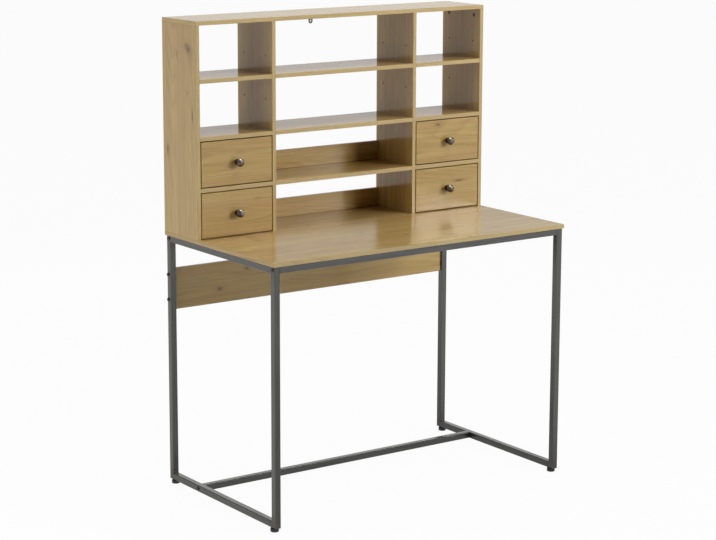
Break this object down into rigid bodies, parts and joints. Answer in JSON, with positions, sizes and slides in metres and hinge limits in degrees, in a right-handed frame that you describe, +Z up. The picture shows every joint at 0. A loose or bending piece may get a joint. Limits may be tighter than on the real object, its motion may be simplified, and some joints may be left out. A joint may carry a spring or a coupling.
{
  "type": "computer desk",
  "caption": "Computer desk: oak-faced top on a square-tube steel frame, carrying a shelved open hutch with small inset drawers and round knobs.",
  "frame": {"origin": "on the floor, under the middle of the desktop", "axes": "+Z up, -Y towards the sitter, +X to the right as seen from the front"},
  "size_m": [1.016, 0.574, 1.369],
  "materials": {
    "oak_board": "satin oak effect",
    "hardboard": "smooth brown",
    "dowel_wood": "plain beech",
    "frame_steel": "satin gunmetal coat",
    "black_plastic": "fine matt",
    "knob_metal": "dark pewter, polished on the crown",
    "black_steel": "black oxide",
    "zinc_steel": "zinc plated",
    "pale_steel": "plain galvanised"
  },
  "bodies": {
    "desk": {"cam_fittings": "zinc_steel", "centre_high_shelf": "oak_board", "centre_low_shelf": "oak_board", "centre_mid_shelf": "oak_board", "desktop": "oak_board", "floor_stretcher": "frame_steel", "foot_inserts": "zinc_steel", "frame_bolts": "black_steel", "front_left_leg": "frame_steel", "front_right_leg": "frame_steel", "front_top_rail": "frame_steel", "hutch_top": "oak_board", "left_bay_back": "hardboard", "left_bottom_rail": "frame_steel", "left_divider": "oak_board", "left_high_shelf": "oak_board", "left_low_shelf": "oak_board", "left_mid_shelf": "oak_board", "left_side_panel": "oak_board", "left_top_rail": "frame_steel", "lower_back_strip": "oak_board", "modesty_panel": "oak_board", "modesty_screws": "black_steel", "panel_screws": "zinc_steel", "rear_left_leg": "frame_steel", "rear_right_leg": "frame_steel", "rear_top_rail": "frame_steel", "right_bay_back": "hardboard", "right_bottom_rail": "frame_steel", "right_divider": "oak_board", "right_high_shelf": "oak_board", "right_low_shelf": "oak_board", "right_mid_shelf": "oak_board", "right_side_panel": "oak_board", "right_top_rail": "frame_steel", "shelf_pins": "zinc_steel", "upper_back_strip": "oak_board", "wall_bracket": "pale_steel", "wood_dowels": "dowel_wood"},
    "upper_left_drawer": {"upper_left_drawer_front": "oak_board", "upper_left_drawer_walls": "oak_board", "upper_left_drawer_bottom": "hardboard", "upper_left_drawer_knob": "knob_metal"},
    "upper_right_drawer": {"upper_right_drawer_front": "oak_board", "upper_right_drawer_walls": "oak_board", "upper_right_drawer_bottom": "hardboard", "upper_right_drawer_knob": "knob_metal"},
    "lower_left_drawer": {"lower_left_drawer_front": "oak_board", "lower_left_drawer_walls": "oak_board", "lower_left_drawer_bottom": "hardboard", "lower_left_drawer_knob": "knob_metal"},
    "lower_right_drawer": {"lower_right_drawer_front": "oak_board", "lower_right_drawer_walls": "oak_board", "lower_right_drawer_bottom": "hardboard", "lower_right_drawer_knob": "knob_metal"},
    "front_left_foot_leveller": {"front_left_foot": "black_plastic"},
    "front_right_foot_leveller": {"front_right_foot": "black_plastic"},
    "rear_left_foot_leveller": {"rear_left_foot": "black_plastic"},
    "rear_right_foot_leveller": {"rear_right_foot": "black_plastic"}
  },
  "joints": [
    {"name": "upper_left_drawer_slide", "type": "slide", "parent": "desk", "child": "upper_left_drawer", "axis": [0, -1, 0], "range_m": [0, 0.13]},
    {"name": "upper_right_drawer_slide", "type": "slide", "parent": "desk", "child": "upper_right_drawer", "axis": [0, -1, 0], "range_m": [0, 0.13]},
    {"name": "lower_left_drawer_slide", "type": "slide", "parent": "desk", "child": "lower_left_drawer", "axis": [0, -1, 0], "range_m": [0, 0.13]},
    {"name": "lower_right_drawer_slide", "type": "slide", "parent": "desk", "child": "lower_right_drawer", "axis": [0, -1, 0], "range_m": [0, 0.13]},
    {"name": "front_left_foot_thread", "type": "slide", "parent": "desk", "child": "front_left_foot_leveller", "axis": [0, 0, -1], "range_m": [0, 0.008]},
    {"name": "front_right_foot_thread", "type": "slide", "parent": "desk", "child": "front_right_foot_leveller", "axis": [0, 0, -1], "range_m": [0, 0.008]},
    {"name": "rear_left_foot_thread", "type": "slide", "parent": "desk", "child": "rear_left_foot_leveller", "axis": [0, 0, -1], "range_m": [0, 0.008]},
    {"name": "rear_right_foot_thread", "type": "slide", "parent": "desk", "child": "rear_right_foot_leveller", "axis": [0, 0, -1], "range_m": [0, 0.008]}
  ]
}
